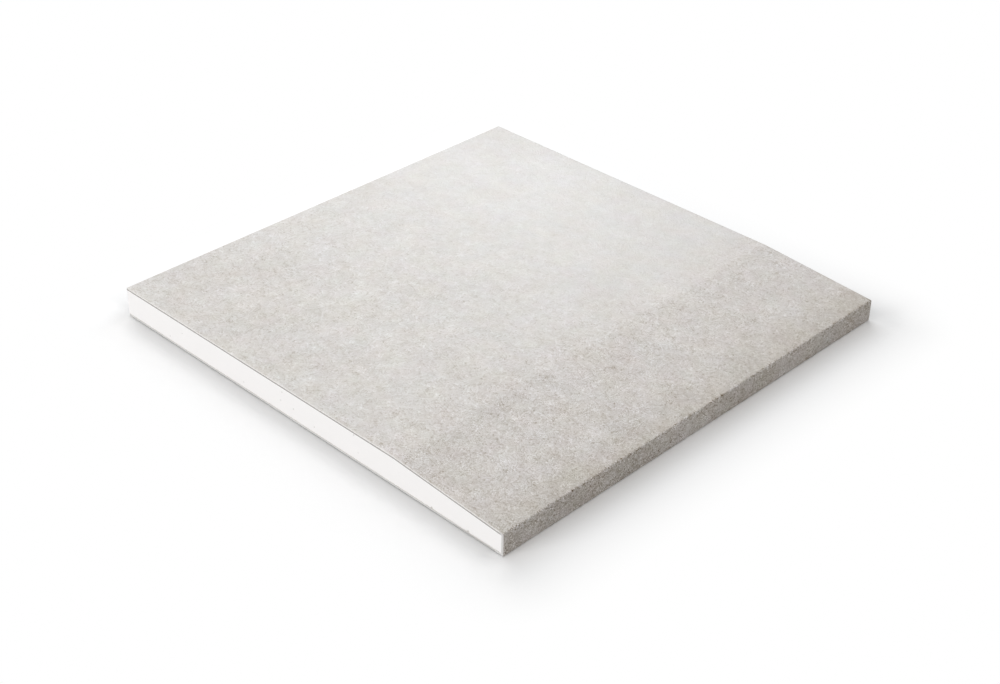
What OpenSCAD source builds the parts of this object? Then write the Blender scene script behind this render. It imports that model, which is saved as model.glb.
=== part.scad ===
// Drywall sheet, cut to a square sample: a gypsum core between two papers.
// The face paper covers the front, wraps the tapered bound edge and folds under
// the back as a flap. The back paper laps over the flap, and both are thinned
// there so that the seam lies flush. The other three edges are cut and show the
// bare core.
// Frame: +Z out of the front face, +X towards the bound edge, +Y along it,
// origin at the middle of the back. Lengths in millimetres.

/* [Sheet] */
// Width across the sheet, from the cut edge to the bound edge
sheet_w = 200; // [120:1:1200]
// Length along the bound edge
sheet_l = 200; // [60:1:3600]
// Thickness of the board where it is flat, papers included
board_t = 12.5; // [9:0.1:19]

/* [Tapered edge] */
// Width of the tapered strip beside the bound edge
taper_w = 51; // [40:1:80]
// Drop of the front face from the taper's start to the bound edge
taper_depth = 3.4; // [0.6:0.1:4]
// Outside radius of the fold between the taper and the bound edge
edge_r = 0.6; // [0.4:0.1:2]
// Outside radius of the fold between the bound edge and the back
heel_r = 0.5; // [0.3:0.1:0.8]

/* [Paper] */
// Thickness of the face paper
face_paper_t = 1; // [0.8:0.05:1.4]
// Thickness of the back paper
back_paper_t = 1; // [0.8:0.05:1.4]

/* [Lapped seam] */
// Width of the flap of face paper that is folded under the back
flap_w = 22; // [15:0.5:35]
// Thickness of the flap where the back paper laps over it
flap_t = 0.5; // [0.2:0.05:0.6]
// Strip of the flap beside the bound edge that the back paper leaves bare
lap_bare_w = 4; // [2:0.5:8]

/* [Hidden] */

// Cutters run past the faces that they open by this much
overrun = 1;
// Sides of a full circle
$fn = 96;

gypsum_colour = [0.95, 0.95, 0.94];
face_paper_colour = [0.85, 0.84, 0.82];
back_paper_colour = [0.72, 0.69, 0.64];

half_w = sheet_w / 2;
taper_angle = atan(taper_depth / taper_w);
// Where the taper starts, where the core ends inside the bound edge, where the
// flap ends, and where the back paper ends over the flap
taper_x = half_w - taper_w;
core_edge_x = half_w - face_paper_t;
flap_x = half_w - flap_w;
lap_x = half_w - lap_bare_w;
// Centre of the fold's arc, which touches both the taper and the bound edge
fold_x = half_w - edge_r;
fold_z = front_z(half_w) - edge_r * (1 - sin(taper_angle)) / cos(taper_angle);

// Height of the front face at x, on the taper's straight line
function front_z(x) = board_t - max(0, x - taper_x) * tan(taper_angle);

// Part of the section under the taper's line, which runs on past the sheet's
// cut edge and front, and the arc of the fold where that line ends
module under_taper() {
    run = sheet_w + board_t;
    translate([fold_x, fold_z])
        rotate(-taper_angle) {
            circle(r = edge_r);
            translate([-run, -run]) square([run, run + edge_r]);
        }
}

// Part of the section below the fold's arc, with the lower fold rounded
module under_fold() {
    polygon([
        [-half_w, 0],
        [half_w - heel_r, 0],
        [half_w, heel_r],
        [half_w, fold_z],
        [-half_w, fold_z]
    ]);
    translate([half_w - heel_r, heel_r]) circle(r = heel_r);
}

// Section of the whole board
module board_section() {
    intersection() {
        translate([-half_w, 0]) square([sheet_w, board_t]);
        union() {
            under_taper();
            under_fold();
        }
    }
}

// Section of the core. past lengthens it beyond the cut edge.
module core_section(past = 0) {
    polygon([
        [-half_w - past, back_paper_t],
        [core_edge_x, back_paper_t],
        [core_edge_x, front_z(core_edge_x) - face_paper_t],
        [taper_x, board_t - face_paper_t],
        [-half_w - past, board_t - face_paper_t]
    ]);
}

// Section of the back paper, thinned where it laps over the flap.
// past lengthens it beyond the cut edge and below the back.
module back_paper_section(past = 0) {
    polygon([
        [-half_w - past, -past],
        [lap_x, -past],
        [lap_x, back_paper_t - flap_t],
        [flap_x, back_paper_t - flap_t],
        [flap_x, back_paper_t],
        [-half_w - past, back_paper_t]
    ]);
}

// Section of the face paper: what the core and the back paper leave of the board
module face_paper_section() {
    difference() {
        board_section();
        core_section(overrun);
        back_paper_section(overrun);
    }
}

// Runs a section along the sheet, with its upward axis along +Z
module along_sheet() {
    rotate([90, 0, 0])
        linear_extrude(height = sheet_l, center = true)
            children();
}

module gypsum_core() {
    color(gypsum_colour) along_sheet() core_section();
}

module face_paper() {
    color(face_paper_colour) along_sheet() face_paper_section();
}

module back_paper() {
    color(back_paper_colour) along_sheet() back_paper_section();
}

gypsum_core();
face_paper();
back_paper();
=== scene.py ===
"""Drywall sheet: a cut gypsum core between two fibrous papers, on a white studio floor."""

import logging
import math
import random
from abc import ABC, abstractmethod
from collections.abc import Callable, Sequence
from dataclasses import dataclass
from enum import Enum
from functools import reduce
from typing import ClassVar

import bmesh
import bpy
from mathutils import Color, Matrix, Vector, kdtree, noise


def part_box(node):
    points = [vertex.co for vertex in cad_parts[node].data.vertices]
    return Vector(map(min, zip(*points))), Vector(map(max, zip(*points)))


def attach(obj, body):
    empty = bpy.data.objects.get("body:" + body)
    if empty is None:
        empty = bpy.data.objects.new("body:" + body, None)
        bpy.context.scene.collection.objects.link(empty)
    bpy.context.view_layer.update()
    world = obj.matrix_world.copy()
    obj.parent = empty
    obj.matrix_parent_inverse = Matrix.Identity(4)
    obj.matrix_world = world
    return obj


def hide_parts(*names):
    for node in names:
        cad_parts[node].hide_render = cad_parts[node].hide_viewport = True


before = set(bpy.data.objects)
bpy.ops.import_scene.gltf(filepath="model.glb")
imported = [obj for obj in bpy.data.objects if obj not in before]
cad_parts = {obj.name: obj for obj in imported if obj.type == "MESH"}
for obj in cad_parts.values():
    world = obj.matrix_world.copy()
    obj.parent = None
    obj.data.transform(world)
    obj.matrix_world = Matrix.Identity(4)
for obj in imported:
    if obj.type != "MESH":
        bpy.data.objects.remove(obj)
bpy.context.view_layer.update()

log = logging.getLogger("drywall_sheet")

Shape = bmesh.types.BMesh
Socket = bpy.types.NodeSocket
Span = tuple[float, float]
Triple = tuple[float, float, float]

MM = 0.001
WHITE = (1.0, 1.0, 1.0, 1.0)
# What the points of a mesh carry: how deep in the paper they lie, how far along its section,
# and how far inside an air bubble
PLY_DEPTH = "ply_depth"
PATH_RUN = "path_run"
HOLLOW = "hollow"
# The name of the flat map that a piece's materials are baked through
BAKE_MAP = "OFBake"
# How near to a cut a point counts as on it
ON_CUT = 0.01 * MM
# The part of a face's normal along an axis from which the face counts as looking that way
LOOKS_ALONG = 0.9
# The angle between two faces from which the edge between them is sharp
SHARP_DEG = 35


class Layer(Enum):
    """The layers of the board, by the name of the node that each stands for."""

    GYPSUM_CORE = "gypsum_core"
    FACE_PAPER = "face_paper"
    BACK_PAPER = "back_paper"


class Slot(Enum):
    """The record's material slots."""

    GYPSUM = "gypsum"
    FACE_PAPER = "face_paper"
    BACK_PAPER = "back_paper"


class Side(Enum):
    """What a face of a paper layer is: its skin, or a rim where the sheet was cut."""

    SKIN = 0
    CUT_RIM = 1


def linear(tone: str) -> tuple[float, float, float, float]:
    """Turns a tone such as "#dfddda" into the linear colour that a shader takes.

    Args:
        tone: The tone in hexadecimal, as it looks on a screen.

    Returns:
        Red, green, blue and a full alpha.
    """
    shown = Color([level / 255 for level in bytes.fromhex(tone[1:])])
    return (*shown.from_srgb_to_scene_linear(), 1.0)


def waver(place: Vector, per_metre: float) -> float:
    """Gives a smooth noise of zero to one at a place."""
    return 0.5 + 0.5 * noise.noise(place * per_metre)


@dataclass(frozen=True)
class BoardSizes:
    """Sizes of the board in metres, shared by its layers."""

    half_width: float
    half_length: float
    thickness: float
    face_paper: float
    back_paper: float
    taper_width: float = 51 * MM
    taper_drop: float = 3.4 * MM
    fold_radius: float = 0.6 * MM
    heel_radius: float = 0.5 * MM
    flap_width: float = 22 * MM
    flap_thickness: float = 0.5 * MM
    bare_width: float = 4 * MM

    @classmethod
    def from_frame(cls) -> "BoardSizes":
        """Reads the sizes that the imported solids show.

        Returns:
            The sizes.
        """
        _, face_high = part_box(Layer.FACE_PAPER.value)
        core_low, core_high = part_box(Layer.GYPSUM_CORE.value)
        return cls(
            half_width=face_high.x,
            half_length=face_high.y,
            thickness=face_high.z,
            face_paper=face_high.z - core_high.z,
            back_paper=core_low.z,
        )

    @property
    def edge_height(self) -> float:
        """Gives the height at which the line of the taper meets the bound edge."""
        return self.thickness - self.taper_drop

    @property
    def taper_start(self) -> float:
        """Gives the x at which the front starts to drop."""
        return self.half_width - self.taper_width

    @property
    def core_end(self) -> float:
        """Gives the x at which the core ends inside the bound edge."""
        return self.half_width - self.face_paper

    @property
    def core_width(self) -> float:
        """Gives the width of the core across the sheet."""
        return self.core_end + self.half_width

    @property
    def flap_end(self) -> float:
        """Gives the x at which the folded flap ends under the back."""
        return self.half_width - self.flap_width

    @property
    def flap_under(self) -> float:
        """Gives the height of the flap's underside where the back paper laps over it."""
        return self.back_paper - self.flap_thickness

    @property
    def lap_end(self) -> float:
        """Gives the x at which the back paper ends over the flap."""
        return self.half_width - self.bare_width

    def front_height(self, x: float) -> float:
        """Gives the height of the front face at a place across the sheet."""
        past = max(0.0, x - self.taper_start)
        return self.thickness - past * self.taper_drop / self.taper_width

    def core_top(self, x: float) -> float:
        """Gives the height of the core's top at a place across the sheet."""
        return self.front_height(x) - self.face_paper


@dataclass(frozen=True)
class Corner:
    """A corner of a section: sharp, or rounded by an arc of a few steps."""

    x: float
    z: float
    radius: float = 0.0
    arc_steps: int = 1


def section_points(corners: Sequence[Corner], run_steps: Sequence[int]) -> list[Vector]:
    """Walks along a section and gives the points of its runs and arcs.

    Args:
        corners: The corners in order, of which the first and the last are the ends.
        run_steps: The number of equal steps in each straight run.

    Returns:
        The points, each with x across the sheet and y for the height.
    """
    places = [Vector((corner.x, corner.z)) for corner in corners]
    points = [places[0]]
    for index, steps in enumerate(run_steps):
        corner = corners[index + 1]
        along = (places[index + 1] - places[index]).normalized()
        turn = 0.0
        if index + 2 < len(places):
            turn = along.angle_signed(places[index + 2] - places[index + 1])
        start = points[-1]
        stop = places[index + 1] - along * corner.radius * math.tan(abs(turn) / 2)
        points.extend(start.lerp(stop, step / steps) for step in range(1, steps + 1))
        if corner.radius > 0:
            inward = Vector((along.y, -along.x)) * math.copysign(corner.radius, turn)
            for step in range(1, corner.arc_steps + 1):
                spoke = Matrix.Rotation(-turn * step / corner.arc_steps, 2) @ -inward
                points.append(stop + inward + spoke)
    return points


class NodeTree:
    """The nodes of a material or of the world, with short calls that add them and link them up.

    The calls take a number, a place or a colour as a plain value or as a socket.
    """

    def __init__(self, owner: bpy.types.Material | bpy.types.World) -> None:
        """Starts an empty tree.

        Args:
            owner: The material or the world that the nodes are for.
        """
        owner.use_nodes = True
        self.owner = owner
        self._nodes = owner.node_tree.nodes
        self._links = owner.node_tree.links
        self._nodes.clear()

    def add(self, kind: str, inputs: dict[str | int, object], **settings: object) -> bpy.types.Node:
        """Adds a node, sets it and feeds its sockets.

        Args:
            kind: The node's type.
            inputs: A socket to link, or a plain value, for each input by name or number.
            **settings: The node's own settings.

        Returns:
            The node.
        """
        node = self._nodes.new(kind)
        for name, value in settings.items():
            setattr(node, name, value)
        for key, value in inputs.items():
            if isinstance(value, bpy.types.NodeSocket):
                self._links.new(value, node.inputs[key])
            else:
                node.inputs[key].default_value = value
        return node

    def place_in_mm(self) -> Socket:
        """Gives the point on the piece in millimetres."""
        return self.scaled(self.add("ShaderNodeTexCoord", {}).outputs["Object"], 1 / MM)

    def axes(self, place: Socket) -> Sequence[Socket]:
        """Gives the three parts of a place."""
        return self.add("ShaderNodeSeparateXYZ", {0: place}).outputs

    def carried(self, name: str) -> Socket:
        """Gives a value that the points of the mesh carry."""
        return self.add("ShaderNodeAttribute", {}, attribute_name=name).outputs["Fac"]

    def math(self, operation: str, first: object, second: object = 0.0) -> Socket:
        """Works out a sum or the like of two numbers."""
        return self.add("ShaderNodeMath", {0: first, 1: second}, operation=operation).outputs[0]

    def total(self, *values: object) -> object:
        """Adds up numbers."""
        return reduce(lambda first, second: self.math("ADD", first, second), values)

    def product(self, *values: object) -> object:
        """Multiplies numbers."""
        return reduce(lambda first, second: self.math("MULTIPLY", first, second), values)

    def swing(self, pattern: Socket, share: object = 1.0) -> Socket:
        """Gives a pattern of zero to one as a swing about zero of a given strength."""
        return self.product(self.math("SUBTRACT", pattern, 0.5), share)

    def vector(self, operation: str, first: object, second: object = (0.0, 0.0, 0.0)) -> Socket:
        """Works out a sum or the like of two places or colours."""
        return self.add("ShaderNodeVectorMath", {0: first, 1: second}, operation=operation).outputs[0]

    def shifted(self, place: Socket, by: object) -> Socket:
        """Gives a place or a colour moved by an amount."""
        return self.vector("ADD", place, by)

    def scaled(self, vector: object, by: object) -> Socket:
        """Gives a place or a colour times a number."""
        return self.add("ShaderNodeVectorMath", {0: vector, "Scale": by}, operation="SCALE").outputs[0]

    def ramp(self, value: Socket, span: Span, at_start: object = 0.0, at_end: object = 1.0) -> Socket:
        """Eases from one value to another as a socket goes through a span.

        Args:
            value: The socket to follow.
            span: Where the change starts and where it ends.
            at_start: The result up to the start.
            at_end: The result from the end on.

        Returns:
            The eased value's socket.
        """
        start, end = span
        inputs = {
            "Value": value,
            "From Min": start,
            "From Max": end,
            "To Min": at_start,
            "To Max": at_end,
        }
        return self.add("ShaderNodeMapRange", inputs, interpolation_type="SMOOTHSTEP").outputs[0]

    def blend(self, share: object, first: object, second: object, blend_type: str = "MIX") -> Socket:
        """Blends two colours.

        Args:
            share: How much of the second there is.
            first: The first colour.
            second: The second colour.
            blend_type: The name of Blender's way to blend.

        Returns:
            The blended colour's socket.
        """
        # A mix node takes colours at 6 and 7 and gives their blend at 2
        inputs = {0: share, 6: first, 7: second}
        return self.add("ShaderNodeMix", inputs, data_type="RGBA", blend_type=blend_type).outputs[2]

    def relief(self, height: Socket, strength: float, depth_mm: float) -> Socket:
        """Gives the normals of a surface with fine relief.

        Args:
            height: The pattern that stands for the height.
            strength: How much of the relief shows.
            depth_mm: How deep the pattern goes.

        Returns:
            The normals' socket.
        """
        inputs = {"Strength": strength, "Distance": depth_mm * MM, "Height": height}
        return self.add("ShaderNodeBump", inputs).outputs[0]

    def finish(self, colour: Socket, rough: float, shine: float, **rest: object) -> bpy.types.Material:
        """Ends the tree in a matt surface.

        Args:
            colour: The colour's socket.
            rough: The roughness.
            shine: The specular level.
            **rest: Other sockets of the shader, such as Normal.

        Returns:
            The finished material.
        """
        inputs = {"Base Color": colour, "Roughness": rough, "Specular IOR Level": shine, **rest}
        shader = self.add("ShaderNodeBsdfPrincipled", inputs)
        self.add("ShaderNodeOutputMaterial", {"Surface": shader.outputs[0]})
        return self.owner


@dataclass(frozen=True)
class Pattern:
    """A noise over a piece, with a shift that keeps it from running together with other ones."""

    per_mm: float
    shift_mm: Triple = (0.0, 0.0, 0.0)
    detail: float = 0.0
    roughness: float = 0.5

    def level(self, tree: NodeTree, place: Socket) -> Socket:
        """Gives the noise as a number of zero to one."""
        return self._noise(tree, place)[0]

    def hues(self, tree: NodeTree, place: Socket) -> Socket:
        """Gives the noise as a colour, whose three parts go their own ways."""
        return self._noise(tree, place)[1]

    def _noise(self, tree: NodeTree, place: Socket) -> Sequence[Socket]:
        """Adds the noise to a tree.

        Args:
            tree: The material's nodes.
            place: The point in millimetres.

        Returns:
            The noise as a number and as a colour.
        """
        inputs = {
            "Vector": tree.shifted(place, self.shift_mm),
            "Scale": self.per_mm,
            "Detail": self.detail,
            "Roughness": self.roughness,
        }
        return tree.add("ShaderNodeTexNoise", inputs).outputs


@dataclass(frozen=True)
class ToneZone:
    """A strip across the sheet, through which the paper's tone changes and its grain grows stronger.

    Its span is measured from the bound edge.
    """

    span_mm: Span
    tone: str
    added_contrast: float
    wander_mm: float
    added_limit: float = 0.0


@dataclass(frozen=True)
class FibreCoat:
    """Short fibres that lie much the same way: pale ones with a share above zero, or dark ones."""

    turn_deg: float
    shift_mm: Triple
    share: float
    length_mm: float = 3.4
    width_mm: float = 0.56
    span: Span = (0.58, 0.74)


@dataclass(frozen=True)
class Mottle:
    """A soft pattern of paler and darker paper."""

    pattern: Pattern
    share: float


@dataclass(frozen=True)
class Flecks:
    """Small specks that lie apart: pale ones with a share above zero, or dark ones."""

    pattern: Pattern
    share: float
    span: Span


@dataclass(frozen=True)
class PaperFinish:
    """Fibrous paper: coats of curled fibres, grain, flecks and faint stains, toned across the sheet."""

    name: str
    # The tone and the strength of the marks at the far end and at the near end, where the slightly
    # warmer tone is painted shade
    tone: str
    near_shade_tone: str
    contrast: float = 0.50
    near_contrast: float = 1.62
    # The most that the strength of the coarse marks comes to
    coarse_limit: float = 2.1
    # Strips across the sheet, and the way that their borders wander
    zones: tuple[ToneZone, ...] = ()
    border: Pattern = Pattern(0.07, detail=3.0, roughness=0.55)
    border_stretch: Triple = (1.0, 0.35, 1.0)
    # Fibres, how they curl and how far they stand up
    coats: tuple[FibreCoat, ...] = (
        FibreCoat(8.0, (0.0, 0.0, 0.0), 0.052),
        FibreCoat(66.0, (57.1, 23.3, 9.7), 0.052),
        FibreCoat(127.0, (13.9, 61.7, 4.9), 0.052),
        FibreCoat(38.0, (31.7, 12.3, 5.1), -0.056),
        FibreCoat(98.0, (83.9, 41.1, 3.3), -0.056),
        FibreCoat(160.0, (71.3, 5.9, 7.7), -0.056),
    )
    strand: Pattern = Pattern(1.0)
    strand_height: float = 0.5
    curl: Pattern = Pattern(0.16, detail=1.0)
    curl_mm: float = 3.0
    # Specks and soft clouds
    flecks: tuple[Flecks, ...] = (
        Flecks(Pattern(1.2, (11.9, 71.3, 2.3)), -0.11, (0.68, 0.82)),
        Flecks(Pattern(1.3, (53.9, 27.1, 6.7)), 0.07, (0.69, 0.83)),
    )
    mottles: tuple[Mottle, ...] = (
        Mottle(Pattern(0.55, (19.7, 5.3, 61.1), 1.0), 0.048),
        Mottle(Pattern(0.2, (41.3, 77.7, 1.9), 2.0), 0.088),
        Mottle(Pattern(0.05, (66.1, 2.7, 31.9), 1.0), 0.06),
    )
    # Grain, and a rougher grain that starts where the marks are this strong
    grain: Pattern = Pattern(2.2, detail=2.0, roughness=0.6)
    grain_share: float = 0.78
    rough: Pattern = Pattern(3.4, detail=1.0)
    rough_share: float = 0.8
    rough_from: float = 1.6
    # Patches in which the marks are weaker or stronger, and their strength in red, green and blue
    flocs: Pattern = Pattern(0.22, (29.3, 8.7, 14.1), 1.0)
    floc_span: Span = (0.32, 0.68)
    calm: float = 0.75
    busy: float = 1.25
    mark_strength: Triple = (0.9, 1.0, 1.16)
    # Faint tints
    warmth: Pattern = Pattern(0.06, (3.3, 17.9, 8.1), 2.0)
    warmth_span: Span = (0.3, 0.7)
    warm_tint: str = "#fffefd"
    cool_tint: str = "#fefeff"
    stain: Pattern = Pattern(0.12, (47.3, 35.9, 12.7), 2.0)
    stain_share: float = 0.045
    # The surface
    relief: float = 0.5
    relief_mm: float = 0.10
    sheen_rough: float = 0.7
    sheen: float = 0.25

    def material(self, sizes: BoardSizes) -> bpy.types.Material:
        """Makes the paper's material.

        Args:
            sizes: The sizes of the board that the paper is on.

        Returns:
            The material.
        """
        tree = NodeTree(bpy.data.materials.new(self.name))
        place = tree.place_in_mm()
        tone, contrast, coarse_contrast = self._zoned(tree, place, sizes)
        grain = tree.swing(self.grain.level(tree, place))
        rough = tree.swing(self.rough.level(tree, place), self.rough_share)
        rough_contrast = tree.math("MAXIMUM", tree.math("SUBTRACT", contrast, self.rough_from), 0.0)
        strokes, heights = self._strokes(tree, place)
        marks = tree.total(
            tree.product(grain, tree.math("ABSOLUTE", grain), self.grain_share, contrast),
            tree.product(rough, rough_contrast),
            tree.product(strokes, coarse_contrast),
            tree.product(self._clouds(tree, place), tree.total(coarse_contrast, 1.0)),
        )
        shade = tree.shifted(tree.scaled(self.mark_strength, marks), WHITE[:3])
        colour = tree.blend(1.0, tone, self._stained(tree, place), "MULTIPLY")
        colour = tree.blend(1.0, colour, shade, "MULTIPLY")
        relief = tree.relief(tree.total(grain, *heights), self.relief, self.relief_mm)
        return tree.finish(colour, self.sheen_rough, self.sheen, Normal=relief)

    def _zoned(self, tree: NodeTree, place: Socket, sizes: BoardSizes) -> tuple[Socket, Socket, Socket]:
        """Works out the paper's tone and how strong its grain is, zone by zone across the sheet.

        Args:
            tree: The material's nodes.
            place: The point in millimetres.
            sizes: The board's sizes.

        Returns:
            The tone's socket, the contrast's socket and the socket of the coarse marks' own contrast.
        """
        across, along, _ = tree.axes(place)
        from_bound = tree.math("SUBTRACT", across, sizes.half_width / MM)
        half_length = sizes.half_length / MM
        # Toward the near end the tone turns a little warmer as painted shade, and the marks grow
        # stronger
        toward_near = tree.ramp(along, (-half_length, half_length), 1.0, 0.0)
        tone = tree.blend(toward_near, linear(self.tone), linear(self.near_shade_tone))
        contrast = tree.ramp(toward_near, (0.0, 1.0), self.contrast, self.near_contrast)
        wander = self.border.level(tree, tree.vector("MULTIPLY", place, self.border_stretch))
        limit = self.coarse_limit
        for zone in self.zones:
            border = tree.total(from_bound, tree.swing(wander, zone.wander_mm))
            share = tree.ramp(border, zone.span_mm)
            tone = tree.blend(share, tone, linear(zone.tone))
            contrast = tree.total(contrast, tree.product(share, zone.added_contrast))
            limit = tree.total(limit, tree.product(share, zone.added_limit))
        flocs = tree.ramp(self.flocs.level(tree, place), self.floc_span, self.calm, self.busy)
        contrast = tree.product(contrast, flocs)
        return tone, contrast, tree.math("MINIMUM", contrast, limit)

    def _strokes(self, tree: NodeTree, place: Socket) -> tuple[Socket, list[Socket]]:
        """Gives the paper's fibres and flecks.

        Args:
            tree: The material's nodes.
            place: The point in millimetres.

        Returns:
            A socket of what they add to the tone, and the height of each coat of fibres.
        """
        tones = []
        heights = []
        for coat in self.coats:
            fibres = self._fibres(tree, place, coat)
            tones.append(tree.product(fibres, coat.share))
            heights.append(tree.product(fibres, math.copysign(self.strand_height, coat.share)))
        for flecks in self.flecks:
            tones.append(tree.ramp(flecks.pattern.level(tree, place), flecks.span, 0.0, flecks.share))
        return tree.total(*tones), heights

    def _fibres(self, tree: NodeTree, place: Socket, coat: FibreCoat) -> Socket:
        """Gives curled fibres: the peaks of a noise that is stretched one way and then bent.

        Args:
            tree: The material's nodes.
            place: The point in millimetres.
            coat: The coat that the fibres make.

        Returns:
            A socket that is one along a fibre and zero beside it.
        """
        place = tree.shifted(place, coat.shift_mm)
        curl = tree.shifted(self.curl.hues(tree, place), (-0.5, -0.5, -0.5))
        inputs = {
            "Vector": tree.shifted(place, tree.scaled(curl, self.curl_mm)),
            "Rotation": (0.0, 0.0, math.radians(coat.turn_deg)),
            "Scale": (coat.length_mm, coat.width_mm, coat.width_mm),
        }
        lying = tree.add("ShaderNodeMapping", inputs, vector_type="TEXTURE").outputs[0]
        return tree.ramp(self.strand.level(tree, lying), coat.span)

    def _clouds(self, tree: NodeTree, place: Socket) -> Socket:
        """Gives the sum of the soft patterns of paler and darker paper."""
        clouds = [tree.swing(mottle.pattern.level(tree, place), mottle.share) for mottle in self.mottles]
        return tree.total(*clouds)

    def _stained(self, tree: NodeTree, place: Socket) -> Socket:
        """Gives a faint tint that wanders from warm to cool and a little through all hues.

        Args:
            tree: The material's nodes.
            place: The point in millimetres.

        Returns:
            A socket of the tint, which is near white.
        """
        warmth = tree.ramp(self.warmth.level(tree, place), self.warmth_span)
        tint = tree.blend(warmth, linear(self.cool_tint), linear(self.warm_tint))
        stain = tree.scaled(self.stain.hues(tree, place), self.stain_share)
        stain = tree.shifted(stain, (1 - self.stain_share / 2,) * 3)
        return tree.blend(1.0, tint, stain, "MULTIPLY")


@dataclass(frozen=True)
class CutPaperFinish:
    """The rim of the cut papers: the front's pale outer and dark inner ply, the dark one partly painted
    shade, the paper round the bound edge, and the grey back with painted contact shadow at its foot.

    The bound edge's span is measured from that edge, and the back's from the sheet's underside.
    """

    name: str
    # A pale outer ply and a dark inner ply; the dark inner ply also paints the shade line under the face
    # paper's cut edge
    outer_tone: str = "#e8e6e3"
    inner_ply_shade_tone: str = "#a39e9a"
    ply_span: Span = (0.35, 0.6)
    bound_tone: str = "#cfcdcb"
    bound_span_mm: Span = (-2.5, -0.8)
    # The back rim's grey, darkened along its lowest fraction of a millimetre as painted contact shadow
    # on the floor
    back_contact_shade_tone: str = "#8b8987"
    back_inner_tone: str = "#d6d5d3"
    back_span_mm: Span = (0.20, 0.34)
    back_border_mm: float = 0.1
    tear: Pattern = Pattern(1.4, detail=2.0)
    torn: float = 0.5
    back_torn_mm: float = 0.12
    fuzz: Pattern = Pattern(2.6, detail=2.0)
    fuzz_share: float = 0.2
    rough: float = 0.95
    shine: float = 0.1

    def material(self, sizes: BoardSizes) -> bpy.types.Material:
        """Makes the rim's material.

        Args:
            sizes: The sizes of the board that the paper is on.

        Returns:
            The material.
        """
        tree = NodeTree(bpy.data.materials.new(self.name))
        place = tree.place_in_mm()
        across, _, height = tree.axes(place)
        tear = self.tear.level(tree, place)
        depth = tree.total(tree.carried(PLY_DEPTH), tree.swing(tear, self.torn))
        # The dark inner ply stands partly for painted shade under the face paper's edge
        ply_shade = tree.ramp(depth, self.ply_span)
        front = tree.blend(ply_shade, linear(self.outer_tone), linear(self.inner_ply_shade_tone))
        from_bound = tree.math("SUBTRACT", across, sizes.half_width / MM)
        bound = tree.ramp(from_bound, self.bound_span_mm)
        wrapped = tree.blend(bound, front, linear(self.bound_tone))
        torn_height = tree.total(height, tree.swing(tear, self.back_torn_mm))
        # Dark at its foot as painted contact shadow, pale grey above
        back_shade_fade = tree.ramp(torn_height, self.back_span_mm)
        back = tree.blend(back_shade_fade, linear(self.back_contact_shade_tone), linear(self.back_inner_tone))
        back_top = sizes.back_paper / MM
        above_back = tree.ramp(height, (back_top, back_top + self.back_border_mm))
        colour = tree.blend(above_back, back, wrapped)
        fuzz = tree.total(tree.swing(self.fuzz.level(tree, place), self.fuzz_share), 1.0)
        return tree.finish(tree.scaled(colour, fuzz), self.rough, self.shine)


@dataclass(frozen=True)
class GypsumFinish:
    """Chalky cut gypsum: near white, with fine grains, and air bubbles darkened as painted shade."""

    name: str
    tone: str
    bubble_shade_tone: str
    grain: Pattern = Pattern(2.4, detail=3.0, roughness=0.65)
    grain_share: float = 0.05
    relief: float = 0.3
    relief_mm: float = 0.06
    rough: float = 0.98
    shine: float = 0.05

    def material(self) -> bpy.types.Material:
        """Makes the core's material.

        Returns:
            The material.
        """
        tree = NodeTree(bpy.data.materials.new(self.name))
        grain = self.grain.level(tree, tree.place_in_mm())
        # Inside the bubbles the colour darkens toward their middles as painted shade
        colour = tree.blend(tree.carried(HOLLOW), linear(self.tone), linear(self.bubble_shade_tone))
        colour = tree.scaled(colour, tree.total(tree.swing(grain, self.grain_share), 1.0))
        relief = tree.relief(grain, self.relief, self.relief_mm)
        return tree.finish(colour, self.rough, self.shine, Normal=relief)


class FlatMap:
    """A flat map of a piece: a strip for each group of faces, with most room for those that show."""

    def __init__(self, bm: Shape, gap: float = 1.0 * MM) -> None:
        """Starts an empty map.

        Args:
            bm: The piece's bmesh.
            gap: The space between two strips.
        """
        self._bm = bm
        self._gap = gap
        self._layer = bm.loops.layers.uv.new(BAKE_MAP)
        self._width = 0.0
        self._height = 0.0

    def lay(
        self,
        faces: Sequence[bmesh.types.BMFace],
        flat: Callable[[bmesh.types.BMVert], tuple[float, float]],
    ) -> None:
        """Lays a group of faces as a strip above those that are there, with its outside up.

        Args:
            faces: The group's faces.
            flat: Gives the place of a point in the strip, along and up, in metres.
        """
        spots = []
        turn = 0.0
        for face in faces:
            corners = [Vector(flat(vert)) for vert in face.verts]
            turn += sum(a.cross(b) for a, b in zip(corners, corners[1:] + corners[:1]))
            spots.extend(zip(face.loops, corners))
        low = min(spot.y for _, spot in spots)
        high = max(spot.y for _, spot in spots)
        for loop, spot in spots:
            up = spot.y - low if turn > 0 else high - spot.y
            loop[self._layer].uv = (spot.x, self._height + up)
        self._width = max(self._width, max(spot.x for _, spot in spots))
        self._height += high - low + self._gap

    def fit(self) -> None:
        """Scales the strips to the unit square."""
        reach = max(self._width, self._height)
        for face in self._bm.faces:
            for loop in face.loops:
                loop[self._layer].uv /= reach


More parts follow.
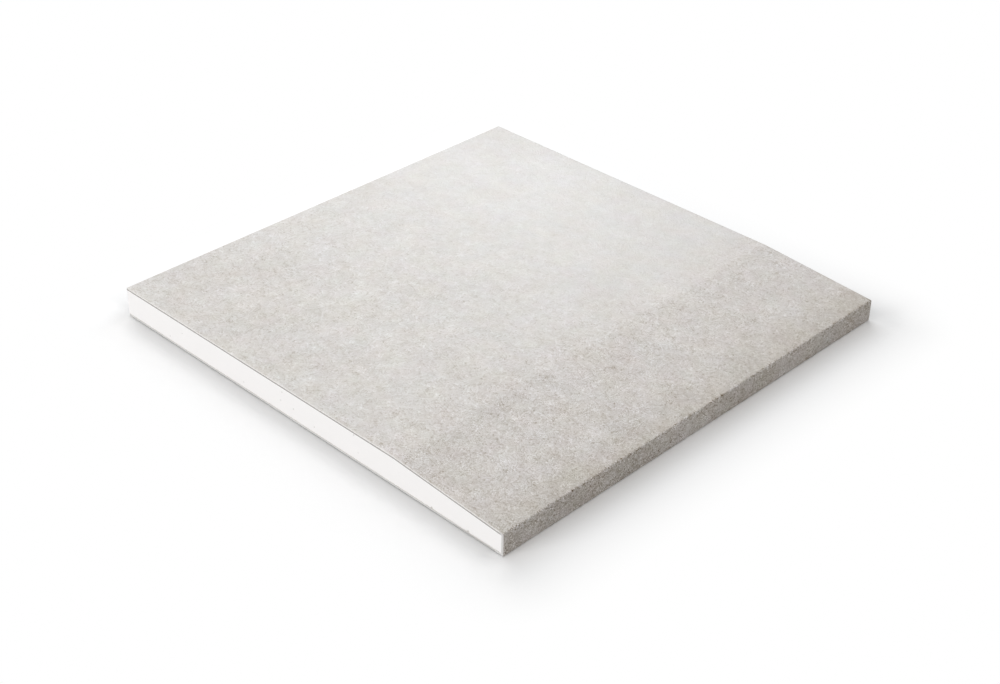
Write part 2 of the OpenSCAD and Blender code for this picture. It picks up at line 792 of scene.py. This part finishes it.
@dataclass
class BoardLayer(ABC):
    """A layer of the board: a section at the near end of the sheet, run on to the far end."""

    piece_name: ClassVar[str]
    layer: ClassVar[Layer]
    slot: ClassVar[Slot]

    sizes: BoardSizes

    @abstractmethod
    def shape(self) -> Shape:
        """Builds the layer's shape."""

    @abstractmethod
    def materials(self) -> tuple[bpy.types.Material, ...]:
        """Makes the layer's materials, in the order of the faces' numbers."""

    def build(self) -> bpy.types.Object:
        """Builds and dresses the piece that stands for the layer's node.

        Returns:
            The piece.
        """
        mesh = bpy.data.meshes.new(self.piece_name)
        bm = self.shape()
        bm.to_mesh(mesh)
        bm.free()
        for material in self.materials():
            mesh.materials.append(material)
        mesh.polygons.foreach_set("use_smooth", [True] * len(mesh.polygons))
        mesh.set_sharp_from_angle(angle=math.radians(SHARP_DEG))
        piece = bpy.data.objects.new(self.piece_name, mesh)
        bpy.context.scene.collection.objects.link(piece)
        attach(piece, "root")
        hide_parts(self.layer.value)
        return piece

    def _run_along_sheet(self, bm: Shape) -> None:
        """Runs the section to the far end of the sheet.

        Args:
            bm: The bmesh, which holds the section's faces.
        """
        run = bmesh.ops.extrude_face_region(bm, geom=list(bm.faces))
        far = [item for item in run["geom"] if isinstance(item, bmesh.types.BMVert)]
        bmesh.ops.translate(bm, verts=far, vec=(0, 2 * self.sizes.half_length, 0))

    def _divide(self, bm: Shape, rows: int, wanted: Callable[[bmesh.types.BMVert], bool]) -> None:
        """Divides the edges that run the length of the sheet into rows.

        Args:
            bm: The bmesh.
            rows: How many rows there are to be.
            wanted: Tells whether the edge from a point is divided.
        """
        long_edges = []
        for edge in bm.edges:
            first, second = edge.verts
            if abs(first.co.y - second.co.y) > self.sizes.half_length and wanted(first):
                long_edges.append(edge)
        bmesh.ops.subdivide_edges(bm, edges=long_edges, cuts=rows - 1, use_grid_fill=True)

    def _at_long_cut(self, place: Vector) -> bool:
        """Tells whether a point lies on the cut face opposite the bound edge."""
        return place.x < ON_CUT - self.sizes.half_width


@dataclass
class PaperSheet(BoardLayer):
    """A paper layer: a closed strip between an outer and an inner path."""

    finish: PaperFinish
    cut_finish: CutPaperFinish
    rows: int
    rim_round: float
    # How deep the skin is cockled, in broad and in close waves
    cockle: float
    broad_per_m: float = 45.0
    close_per_m: float = 400.0
    broad_share: float = 0.65
    # Half the run over which the other side of the paper follows the step of the lap
    step_half: float = 0.25 * MM
    # What the rims and the hidden inside get of the flat map
    rim_room: float = 3.0 * MM
    inside_share: float = 0.05

    @abstractmethod
    def section(self) -> tuple[list[Vector], list[Vector]]:
        """Gives the matching points of the outer and the inner path."""

    def materials(self) -> tuple[bpy.types.Material, ...]:
        """Makes the materials of the skin and of the cut rims."""
        return self.finish.material(self.sizes), self.cut_finish.material(self.sizes)

    def shape(self) -> Shape:
        """Builds the layer's shape.

        Returns:
            The finished bmesh.
        """
        bm = bmesh.new()
        self._lay_section(bm)
        self._run_along_sheet(bm)
        bmesh.ops.recalc_face_normals(bm, faces=list(bm.faces))
        self._divide_skin(bm)
        self._mark_rims(bm)
        self._round_rims(bm)
        self._flatten(bm)
        self._cockle(bm)
        return bm

    def _lay_section(self, bm: Shape) -> None:
        """Lays a strip of faces between the two paths, at the near end of the sheet.

        Args:
            bm: The empty bmesh.
        """
        bm.verts.layers.float.new(PLY_DEPTH)
        bm.verts.layers.float.new(PATH_RUN)
        depth = bm.verts.layers.float[PLY_DEPTH]
        run = bm.verts.layers.float[PATH_RUN]
        outer, inner = self.section()
        spans = len(outer) - 1
        runs = [0.0]
        for start, stop in zip(outer, outer[1:]):
            runs.append(runs[-1] + (stop - start).length)
        strip = bmesh.ops.create_grid(bm, x_segments=spans, y_segments=1, size=0.5)
        for vert in strip["verts"]:
            index = round((vert.co.x + 0.5) * spans)
            is_inner = vert.co.y > 0
            point = inner[index] if is_inner else outer[index]
            vert[depth] = 1.0 if is_inner else 0.0
            vert[run] = runs[index]
            vert.co = (point.x, -self.sizes.half_length, point.y)

    def _divide_skin(self, bm: Shape) -> None:
        """Divides the skin and the long cut rim into rows, and leaves the hidden inside plain."""
        depth = bm.verts.layers.float[PLY_DEPTH]
        self._divide(bm, self.rows, lambda vert: vert[depth] == 0 or self._at_long_cut(vert.co))

    def _mark_rims(self, bm: Shape) -> None:
        """Numbers the cut rims for their own finish.

        Args:
            bm: The bmesh.
        """
        bm.normal_update()
        for face in bm.faces:
            at_end = abs(face.normal.y) > LOOKS_ALONG
            at_cut = face.normal.x < -LOOKS_ALONG and self._at_long_cut(face.calc_center_median())
            if at_end or at_cut:
                face.material_index = Side.CUT_RIM.value

    def _round_rims(self, bm: Shape) -> None:
        """Rounds the arris where the skin meets a cut rim.

        Args:
            bm: The bmesh, with its rims numbered.
        """
        depth = bm.verts.layers.float[PLY_DEPTH]
        both = {Side.SKIN.value, Side.CUT_RIM.value}
        arrises = []
        for edge in bm.edges:
            sides = {face.material_index for face in edge.link_faces}
            if sides == both and all(vert[depth] == 0 for vert in edge.verts):
                arrises.append(edge)
        bmesh.ops.bevel(
            bm,
            geom=arrises,
            offset=self.rim_round,
            offset_type="OFFSET",
            segments=2,
            profile=0.5,
            affect="EDGES",
            clamp_overlap=True,
            material=-1,
        )

    def _flatten(self, bm: Shape) -> None:
        """Maps the skin as it was before it was folded, then the rims and the hidden inside.

        Args:
            bm: The bmesh, before the skin is cockled.
        """
        depth = bm.verts.layers.float[PLY_DEPTH]
        run = bm.verts.layers.float[PATH_RUN]
        half = self.sizes.half_length
        skin, inside, near_end, far_end, cut_side, seam_side = ([] for _ in range(6))
        bm.normal_update()
        for face in bm.faces:
            depths = [vert[depth] for vert in face.verts]
            if max(depths) == 0:
                skin.append(face)
            elif min(depths) == 1:
                inside.append(face)
            elif abs(face.normal.y) > LOOKS_ALONG:
                (near_end if face.normal.y < 0 else far_end).append(face)
            else:
                (cut_side if face.calc_center_median().x < 0 else seam_side).append(face)
        flat_map = FlatMap(bm)
        flat_map.lay(skin, lambda vert: (vert[run], vert.co.y + half))
        flat_map.lay(inside, lambda vert: (vert[run], self.inside_share * (vert.co.y + half)))
        for end in (near_end, far_end):
            flat_map.lay(end, lambda vert: (vert[run], self.rim_room * vert[depth]))
        for side in (cut_side, seam_side):
            flat_map.lay(side, lambda vert: (vert.co.y + half, self.rim_room * vert[depth]))
        flat_map.fit()

    def _cockle(self, bm: Shape) -> None:
        """Sinks the skin a little here and there, as paper that has dried on a wet core.

        Args:
            bm: The bmesh.
        """
        depth = bm.verts.layers.float[PLY_DEPTH]
        bm.normal_update()
        for vert in bm.verts:
            if vert[depth] > 0:
                continue
            broad = self.broad_share * waver(vert.co, self.broad_per_m)
            close = (1 - self.broad_share) * waver(vert.co, self.close_per_m)
            vert.co -= vert.normal * (self.cockle * (broad + close) + self.crumple(vert.co))

    def crumple(self, place: Vector) -> float:
        """Gives how far a fold of the paper has been pressed in at a place."""
        return 0.0


@dataclass
class FacePaper(PaperSheet):
    """The face paper: over the front, round the bound edge and under the back as a flap."""

    piece_name: ClassVar[str] = "face_paper_sheet"
    layer: ClassVar[Layer] = Layer.FACE_PAPER
    slot: ClassVar[Slot] = Slot.FACE_PAPER

    run_steps: tuple[int, ...] = (149, 50, 14, 4, 1, 9)
    taper_round: float = 30 * MM
    taper_steps: int = 4
    inner_fold_radius: float = 0.2 * MM
    fold_steps: int = 9
    inner_heel_radius: float = 0.1 * MM
    heel_steps: int = 5
    dent_depth: float = 0.32 * MM
    dent_reach: float = 2.6 * MM
    dent_level: float = 0.3
    broad_dent: float = 0.5
    broad_dents_per_m: float = 230.0
    close_dent: float = 0.45
    close_dents_per_m: float = 520.0

    def section(self) -> tuple[list[Vector], list[Vector]]:
        """Gives the paths over the front, down the bound edge and back along the flap.

        Returns:
            The points of the outer and the inner path.
        """
        sizes = self.sizes
        start = -sizes.half_width
        taper = sizes.taper_start
        end = sizes.core_end
        outer = (
            Corner(start, sizes.thickness),
            Corner(taper, sizes.thickness, self.taper_round, self.taper_steps),
            Corner(sizes.half_width, sizes.edge_height, sizes.fold_radius, self.fold_steps),
            Corner(sizes.half_width, 0.0, sizes.heel_radius, self.heel_steps),
            Corner(sizes.lap_end, 0.0),
            Corner(sizes.lap_end, sizes.flap_under),
            Corner(sizes.flap_end, sizes.flap_under),
        )
        inner = (
            Corner(start, sizes.core_top(start)),
            Corner(taper, sizes.core_top(taper), self.taper_round, self.taper_steps),
            Corner(end, sizes.core_top(end), self.inner_fold_radius, self.fold_steps),
            Corner(end, sizes.back_paper, self.inner_heel_radius, self.heel_steps),
            Corner(sizes.lap_end + self.step_half, sizes.back_paper),
            Corner(sizes.lap_end - self.step_half, sizes.back_paper),
            Corner(sizes.flap_end, sizes.back_paper),
        )
        return section_points(outer, self.run_steps), section_points(inner, self.run_steps)

    def crumple(self, place: Vector) -> float:
        """Gives how far the fold over the bound edge has been pressed in at a place.

        Args:
            place: A point of the skin.

        Returns:
            The depth, which fades out on both sides of the fold.
        """
        fold = Vector((self.sizes.half_width, place.y, self.sizes.edge_height))
        near = max(0.0, 1 - (place - fold).length / self.dent_reach)
        broad = self.broad_dent * noise.noise(place * self.broad_dents_per_m)
        close = self.close_dent * noise.noise(place * self.close_dents_per_m)
        return self.dent_depth * near * near * max(0.0, self.dent_level + broad + close)


@dataclass
class BackPaper(PaperSheet):
    """The back paper: over the back, and thinned where it laps over the flap."""

    piece_name: ClassVar[str] = "back_paper_sheet"
    layer: ClassVar[Layer] = Layer.BACK_PAPER
    slot: ClassVar[Slot] = Slot.BACK_PAPER

    run_steps: tuple[int, ...] = (118, 1, 12)

    def section(self) -> tuple[list[Vector], list[Vector]]:
        """Gives the paths along the back and above the lap's step.

        Returns:
            The points of the outer and the inner path.
        """
        sizes = self.sizes
        outer = (
            Corner(-sizes.half_width, 0.0),
            Corner(sizes.flap_end - self.step_half, 0.0),
            Corner(sizes.flap_end + self.step_half, 0.0),
            Corner(sizes.lap_end, 0.0),
        )
        inner = (
            Corner(-sizes.half_width, sizes.back_paper),
            Corner(sizes.flap_end, sizes.back_paper),
            Corner(sizes.flap_end, sizes.flap_under),
            Corner(sizes.lap_end, sizes.flap_under),
        )
        return section_points(outer, self.run_steps), section_points(inner, self.run_steps)


@dataclass(frozen=True)
class Bubble:
    """An air bubble that the cut at the near end went through, with its place in shares of that end."""

    along: float
    up: float
    radius_mm: float


@dataclass
class GypsumCore(BoardLayer):
    """The gypsum core, rough and pitted at its three cut faces."""

    piece_name: ClassVar[str] = "cut_gypsum"
    layer: ClassVar[Layer] = Layer.GYPSUM_CORE
    slot: ClassVar[Slot] = Slot.GYPSUM

    finish: GypsumFinish
    # The mesh of the cut faces, their grain and waves, and the crumbled arris beside the papers
    cell: float = 0.32 * MM
    grain_depth: float = 0.04 * MM
    grains_per_m: float = 1900.0
    wave_depth: float = 0.06 * MM
    waves_per_m: float = 160.0
    arris_depth: float = 0.10 * MM
    arris_width: float = 0.4 * MM
    crumbled: float = 0.6
    crumble_swing: float = 0.4
    crumbs_per_m: float = 900.0
    # Bubbles, of which each dents the face a little past its radius
    near_bubbles: tuple[Bubble, ...] = (
        Bubble(0.13, 0.16, 0.24),
        Bubble(0.17, 0.61, 0.22),
        Bubble(0.35, 0.21, 0.24),
        Bubble(0.455, 0.45, 0.26),
        Bubble(0.46, 0.82, 0.25),
        Bubble(0.49, 0.42, 0.28),
        Bubble(0.545, 0.22, 0.25),
        Bubble(0.65, 0.93, 0.26),
        Bubble(0.66, 0.32, 0.2),
        Bubble(0.84, 0.03, 0.34),
        Bubble(0.925, 0.03, 0.34),
    )
    bubbles_per_face: int = 11
    least_bubble_mm: float = 0.2
    bubble_spread_mm: float = 0.15
    bubble_lip: float = 1.3
    seed: int = 11
    # How far from a cut its roughened points lie at most
    cut_reach: float = 0.6 * MM
    # What the hidden faces get of the flat map
    inside_share: float = 0.2

    def materials(self) -> tuple[bpy.types.Material, ...]:
        """Makes the one material of the core."""
        return (self.finish.material(),)

    def shape(self) -> Shape:
        """Builds the core's shape.

        Returns:
            The finished bmesh.
        """
        bm = bmesh.new()
        self._lay_section(bm)
        self._run_along_sheet(bm)
        cells = round(2 * self.sizes.half_length / self.cell)
        self._divide(bm, cells, lambda vert: self._at_long_cut(vert.co))
        bmesh.ops.recalc_face_normals(bm, faces=list(bm.faces))
        self._flatten(bm)
        self._roughen(bm)
        self._open_bubbles(bm)
        bmesh.ops.recalc_face_normals(bm, faces=list(bm.faces))
        return bm

    def _lay_section(self, bm: Shape) -> None:
        """Lays a grid over the section, at the near end of the sheet.

        Args:
            bm: The empty bmesh.
        """
        bm.verts.layers.float.new(HOLLOW)
        sizes = self.sizes
        across = round(sizes.core_width / self.cell)
        up = round((sizes.core_top(-sizes.half_width) - sizes.back_paper) / self.cell)
        grid = bmesh.ops.create_grid(bm, x_segments=across, y_segments=up, size=0.5)
        for vert in grid["verts"]:
            x = (vert.co.x + 0.5) * sizes.core_width - sizes.half_width
            vert.co = self._at_height(x, -sizes.half_length, vert.co.y + 0.5)

    def _flatten(self, bm: Shape) -> None:
        """Maps the three cut faces, then the side at the bound edge and the two under the papers.

        Args:
            bm: The bmesh, before its faces are roughened.
        """
        sizes = self.sizes
        near_end, far_end, long_cut, bound_side, top, bottom = ([] for _ in range(6))
        for face in bm.faces:
            if abs(face.normal.y) > LOOKS_ALONG:
                (near_end if face.normal.y < 0 else far_end).append(face)
            elif abs(face.normal.x) > LOOKS_ALONG:
                (long_cut if face.normal.x < 0 else bound_side).append(face)
            else:
                (bottom if face.normal.z < 0 else top).append(face)
        flat_map = FlatMap(bm)
        for end in (near_end, far_end):
            flat_map.lay(end, lambda vert: (vert.co.x + sizes.half_width, vert.co.z))
        for side in (long_cut, bound_side):
            flat_map.lay(side, lambda vert: (vert.co.y + sizes.half_length, vert.co.z))
        for hidden in (top, bottom):
            flat_map.lay(
                hidden,
                lambda vert: (
                    vert.co.x + sizes.half_width,
                    self.inside_share * (vert.co.y + sizes.half_length),
                ),
            )
        flat_map.fit()

    def _into_board(self, place: Vector, reach: float) -> Vector:
        """Gives the way into the board from a point at a cut face.

        Args:
            place: The point.
            reach: How far from a cut the point still counts as at it.

        Returns:
            The way in, which has no length for a point away from the cuts.
        """
        inward = Vector((0, 0, 0))
        if place.x < reach - self.sizes.half_width:
            inward.x = 1
        if abs(place.y) > self.sizes.half_length - reach:
            inward.y = -math.copysign(1, place.y)
        return inward

    def _roughen(self, bm: Shape) -> None:
        """Sinks the cut faces unevenly, and more beside the papers where the arris crumbles.

        Args:
            bm: The bmesh.
        """
        for vert in bm.verts:
            inward = self._into_board(vert.co, ON_CUT)
            if inward.length == 0:
                continue
            top = self.sizes.core_top(vert.co.x)
            to_paper = min(top - vert.co.z, vert.co.z - self.sizes.back_paper)
            grain = abs(noise.noise(vert.co * self.grains_per_m))
            wave = waver(vert.co, self.waves_per_m)
            crumble = max(0.0, 1 - to_paper / self.arris_width)
            crumble *= self.crumbled + self.crumble_swing * noise.noise(vert.co * self.crumbs_per_m)
            sink = self.grain_depth * grain + self.wave_depth * wave + self.arris_depth * crumble
            vert.co += inward * sink

    def _open_bubbles(self, bm: Shape) -> None:
        """Opens the air bubbles that the cuts went through.

        Args:
            bm: The bmesh, with its cut faces roughened.
        """
        hollow = bm.verts.layers.float[HOLLOW]
        verts = list(bm.verts)
        inwards = []
        tree = kdtree.KDTree(len(verts))
        for index, vert in enumerate(verts):
            tree.insert(vert.co, index)
            inwards.append(self._into_board(vert.co, self.cut_reach))
        tree.balance()
        for middle, radius in self._bubbles(random.Random(self.seed)):
            reach = radius * self.bubble_lip
            for place, index, distance in tree.find_range(middle, reach):
                share = max(0.0, 1 - (distance / reach) ** 2)
                vert = verts[index]
                vert[hollow] = max(vert[hollow], share)
                vert.co = place + inwards[index] * radius * share

    def _bubbles(self, chance: random.Random) -> list[tuple[Vector, float]]:
        """Sets the listed bubbles on the near end, and scatters some over the other two cut faces.

        Args:
            chance: The seeded source of the scattered bubbles.

        Returns:
            The middle and the radius of each bubble.
        """
        sizes = self.sizes
        bubbles = []
        for bubble in self.near_bubbles:
            x = bubble.along * sizes.core_width - sizes.half_width
            bubbles.append((self._at_height(x, -sizes.half_length, bubble.up), bubble.radius_mm * MM))
        for _ in range(self.bubbles_per_face):
            x = chance.random() * sizes.core_width - sizes.half_width
            y = (2 * chance.random() - 1) * sizes.half_length
            for across, along in ((x, sizes.half_length), (-sizes.half_width, y)):
                radius = MM * (self.least_bubble_mm + self.bubble_spread_mm * chance.random())
                bubbles.append((self._at_height(across, along, chance.random()), radius))
        return bubbles

    def _at_height(self, x: float, y: float, share: float) -> Vector:
        """Gives a point of the core at a share of its height, from zero at the back paper to one."""
        low = self.sizes.back_paper
        return Vector((x, y, low + share * (self.sizes.core_top(x) - low)))


@dataclass(frozen=True)
class Lamp:
    """A soft square lamp that points at the sheet."""

    name: str
    place: Triple
    aim: Triple
    width: float
    watts: float
    colour: str = "#ffffff"

    def build(self) -> bpy.types.Object:
        """Hangs the lamp.

        Returns:
            The lamp.
        """
        light = bpy.data.lights.new(self.name, "AREA")
        light.shape = "SQUARE"
        light.size = self.width
        light.energy = self.watts
        light.color = linear(self.colour)[:3]
        lamp = bpy.data.objects.new(self.name, light)
        lamp.location = self.place
        towards = Vector(self.aim) - Vector(self.place)
        lamp.rotation_euler = towards.to_track_quat("-Z", "Y").to_euler()
        lamp.visible_camera = False
        bpy.context.scene.collection.objects.link(lamp)
        return lamp


@dataclass(frozen=True)
class CornerShade:
    """A soft shadow on the floor past one side of the sheet, close to one of its corners.

    It comes and goes with the distance past the side, and with the distance past the corner along it.
    """

    depth: float
    end_mm: Span
    start_mm: Span = (-30.0, -2.0)
    inner_mm: Span = (-4.0, 3.0)
    outer_mm: Span = (6.0, 22.0)

    def left_over(self, tree: NodeTree, past: Socket, along: Socket) -> Socket:
        """Gives the share of the light that the shadow leaves.

        Args:
            tree: The floor's nodes.
            past: How far a point lies past the side, in millimetres.
            along: How far it lies past the corner, along the side.

        Returns:
            The share's socket.
        """
        strip = tree.product(tree.ramp(past, self.inner_mm), tree.ramp(past, self.outer_mm, 1.0, 0.0))
        start = tree.ramp(along, self.start_mm, 0.0, self.depth)
        shade = tree.product(strip, tree.product(start, tree.ramp(along, self.end_mm, 1.0, 0.0)))
        return tree.math("SUBTRACT", 1.0, shade)


@dataclass
class Studio:
    """The white floor, the lamps and the pale surroundings."""

    lamps: tuple[Lamp, ...]
    sheet_half: float
    floor_reach: float = 6.0
    floor_drop: float = 0.02 * MM
    floor_bounce: float = 0.6
    # Paint close to the sheet that shapes its shadow: painted shadow beside the cut edges and past two
    # sides near their corners, painted light beside the bound edge and the left corner
    near_cut: float = 0.86
    near_bound: float = 1.28
    bound_span_mm: Span = (-6.0, 4.5)
    near_left: float = 1.13
    left_span_mm: Span = (-14.0, 2.0)
    left_shade: CornerShade = CornerShade(0.12, (-4.0, 1.0))
    right_shade: CornerShade = CornerShade(0.17, (0.0, 14.0))
    # Paint further off, which lightens the shadow's tail as painted light, and the distances at which it
    # takes over and turns plain white
    far_cut: float = 1.16
    far_bound: float = 1.06
    far_span: Span = (0.5, 1.0)
    fade_mm: float = 12.0
    white_mm: float = 34.0
    # Strength of the light from the surroundings
    surround: float = 0.52

    def build(self) -> bpy.types.Object:
        """Builds the floor, the lamps and the surroundings.

        Returns:
            The floor.
        """
        for lamp in self.lamps:
            lamp.build()
        self._surround()
        return self._floor()

    def _floor(self) -> bpy.types.Object:
        """Lays the floor just under the sheet.

        Returns:
            The floor.
        """
        bm = bmesh.new()
        bmesh.ops.create_grid(bm, x_segments=2, y_segments=2, size=self.floor_reach)
        bmesh.ops.translate(bm, verts=list(bm.verts), vec=(0, 0, -self.floor_drop))
        mesh = bpy.data.meshes.new("studio_floor")
        bm.to_mesh(mesh)
        bm.free()
        mesh.materials.append(self._floor_material())
        floor = bpy.data.objects.new("studio_floor", mesh)
        bpy.context.scene.collection.objects.link(floor)
        return floor

    def _floor_material(self) -> bpy.types.Material:
        """Makes a floor that keeps the shadow beside the sheet, shaped by painted shadow and painted
        light, and turns plain white further off.

        Close to the sheet it is painted a little darker along the cut faces, whose white core lights it.

        Returns:
            The material.
        """
        tree = NodeTree(bpy.data.materials.new("studio_white"))
        seen = self._seen(tree)
        away, past_bound, past_back = self._past_outline(tree)
        width = 2 * self.sheet_half / MM
        past_left = tree.math("SUBTRACT", -width, past_bound)
        past_front = tree.math("SUBTRACT", -width, past_back)
        beside_bound = tree.math("DIVIDE", past_bound, tree.math("MAXIMUM", away, MM))
        # Painted shadow and painted light on the floor close to the sheet
        near = tree.product(
            tree.ramp(past_bound, self.bound_span_mm, self.near_cut, self.near_bound),
            tree.ramp(past_left, self.left_span_mm, 1.0, self.near_left),
        )
        further = tree.ramp(beside_bound, self.far_span, self.far_cut, self.far_bound)
        paint = tree.product(
            tree.ramp(away, (0.0, self.fade_mm), near, further),
            self.right_shade.left_over(tree, past_back, past_bound),
            self.left_shade.left_over(tree, past_left, past_front),
        )
        bounce = (self.floor_bounce, self.floor_bounce, self.floor_bounce, 1.0)
        colour = tree.blend(seen, bounce, paint)
        painted = tree.add("ShaderNodeBsdfDiffuse", {"Color": colour}).outputs[0]
        white = tree.add("ShaderNodeEmission", {"Color": WHITE, "Strength": 1.0}).outputs[0]
        share = tree.product(tree.ramp(away, (0.0, self.white_mm)), seen)
        surface = tree.add("ShaderNodeMixShader", {0: share, 1: painted, 2: white}).outputs[0]
        tree.add("ShaderNodeOutputMaterial", {"Surface": surface})
        return tree.owner

    def _past_outline(self, tree: NodeTree) -> tuple[Socket, Socket, Socket]:
        """Tells how a point on the floor lies to the sheet's outline.

        Args:
            tree: The floor's nodes.

        Returns:
            The distance from the outline in millimetres, and how far the point lies past the lines of
            the bound edge and of the cut edge at the back.
        """
        place = tree.place_in_mm()
        half = self.sheet_half / MM
        past = tree.vector("SUBTRACT", tree.vector("ABSOLUTE", place), (half, half, 1.0))
        past = tree.vector("MAXIMUM", past)
        away = tree.add("ShaderNodeVectorMath", {0: past}, operation="LENGTH").outputs["Value"]
        across, along, _ = tree.axes(place)
        return away, tree.math("SUBTRACT", across, half), tree.math("SUBTRACT", along, half)

    @staticmethod
    def _seen(tree: NodeTree) -> Socket:
        """Tells the rays that show the background from those that light.

        Args:
            tree: The nodes of the floor or of the surroundings.

        Returns:
            A socket that is one for rays that show the background.
        """
        rays = tree.add("ShaderNodeLightPath", {}).outputs
        seen = tree.math("MAXIMUM", rays["Is Camera Ray"], rays["Is Glossy Ray"])
        return tree.math("MAXIMUM", seen, rays["Is Transmission Ray"])

    def _surround(self) -> None:
        """Sets a white world that lights softly."""
        world = bpy.data.worlds.new("studio_surround")
        tree = NodeTree(world)
        level = tree.ramp(self._seen(tree), (0.0, 1.0), self.surround, 1.0)
        glow = tree.add("ShaderNodeBackground", {"Color": WHITE, "Strength": level}).outputs[0]
        tree.add("ShaderNodeOutputWorld", {"Surface": glow})
        bpy.context.scene.world = world


@dataclass(frozen=True)
class PhotoCamera:
    """A camera that looks at the sheet as the photograph does. Angles are in degrees."""

    around: float = 44.185
    above: float = 32.942
    roll: float = 0.803
    lens_mm: float = 62.746
    sensor_mm: float = 36.0
    distance: float = 667.116 * MM
    aside: float = 0.137 * MM
    upward: float = 9.174 * MM

    def build(self) -> bpy.types.Object:
        """Sets the camera up and makes it the scene's own.

        Returns:
            The camera.
        """
        data = bpy.data.cameras.new("photo_camera")
        data.lens = self.lens_mm
        data.sensor_width = self.sensor_mm
        camera = bpy.data.objects.new("photo_camera", data)
        turned = Matrix.Rotation(math.radians(self.around), 4, "Z")
        tilted = Matrix.Rotation(math.radians(90 - self.above), 4, "X")
        rolled = Matrix.Rotation(math.radians(self.roll), 4, "Z")
        stepped_back = Matrix.Translation((-self.aside, -self.upward, self.distance))
        camera.matrix_world = turned @ tilted @ rolled @ stepped_back
        bpy.context.scene.collection.objects.link(camera)
        bpy.context.scene.camera = camera
        return camera


FACE_FINISH = PaperFinish(
    name="face_paper_skin",
    tone="#e3e0dc",
    near_shade_tone="#e4e0db",
    zones=(
        # Strips toward the bound edge: stronger marks where the taper starts, then painted shade: the
        # taper a shade darker from its start, darker still over the last millimetres to the fold, and
        # the fold and bound edge darkest and warmest, with the strongest marks
        ToneZone((-74.0, -42.0), "#e4dfda", 0.9, 12.0),
        ToneZone((-53.0, -47.0), "#dfdad5", 0.45, 9.0),
        ToneZone((-18.0, -1.0), "#d2ccc4", 0.3, 12.0),
        ToneZone((-1.0, -0.3), "#cec7bf", 2.2, 1.5, 2.4),
    ),
)
FACE_RIM = CutPaperFinish("face_paper_rim")
BACK_FINISH = PaperFinish(
    name="back_paper_skin", tone="#c9c2b6", near_shade_tone="#c8c0b4", contrast=1.9, near_contrast=2.1
)
BACK_RIM = CutPaperFinish("back_paper_rim")
CHALK = GypsumFinish("cut_gypsum_chalk", "#f4f2f1", "#bcb9b5")

LAMPS = (
    Lamp("corner_key", (-0.064, 0.1, 0.151), (-0.072, -0.103, 0.0), 0.08, 0.079, "#eff7ff"),
    Lamp("far_key", (-2.75, 1.26, 2.3), (0.0, 0.0, 0.0), 3.3, 56.5),
    Lamp("front_fill", (-1.0, -3.84, 0.50), (0.0, 0.0, 0.0), 1.6, 102.0),
)


def main() -> None:
    """Builds the board's layers, the studio and the camera."""
    logging.basicConfig(level=logging.INFO, format="%(name)s: %(message)s")
    bpy.context.scene.view_settings.view_transform = "Standard"
    sizes = BoardSizes.from_frame()
    layers = (
        GypsumCore(sizes, CHALK),
        FacePaper(sizes, FACE_FINISH, FACE_RIM, rows=200, rim_round=0.15 * MM, cockle=0.05 * MM),
        BackPaper(sizes, BACK_FINISH, BACK_RIM, rows=120, rim_round=0.20 * MM, cockle=0.05 * MM),
    )
    for layer in layers:
        piece = layer.build()
        log.info("%s has %d faces", piece.name, len(piece.data.polygons))
    Studio(LAMPS, sizes.half_width).build()
    PhotoCamera().build()


if __name__ == "__main__":
    main()
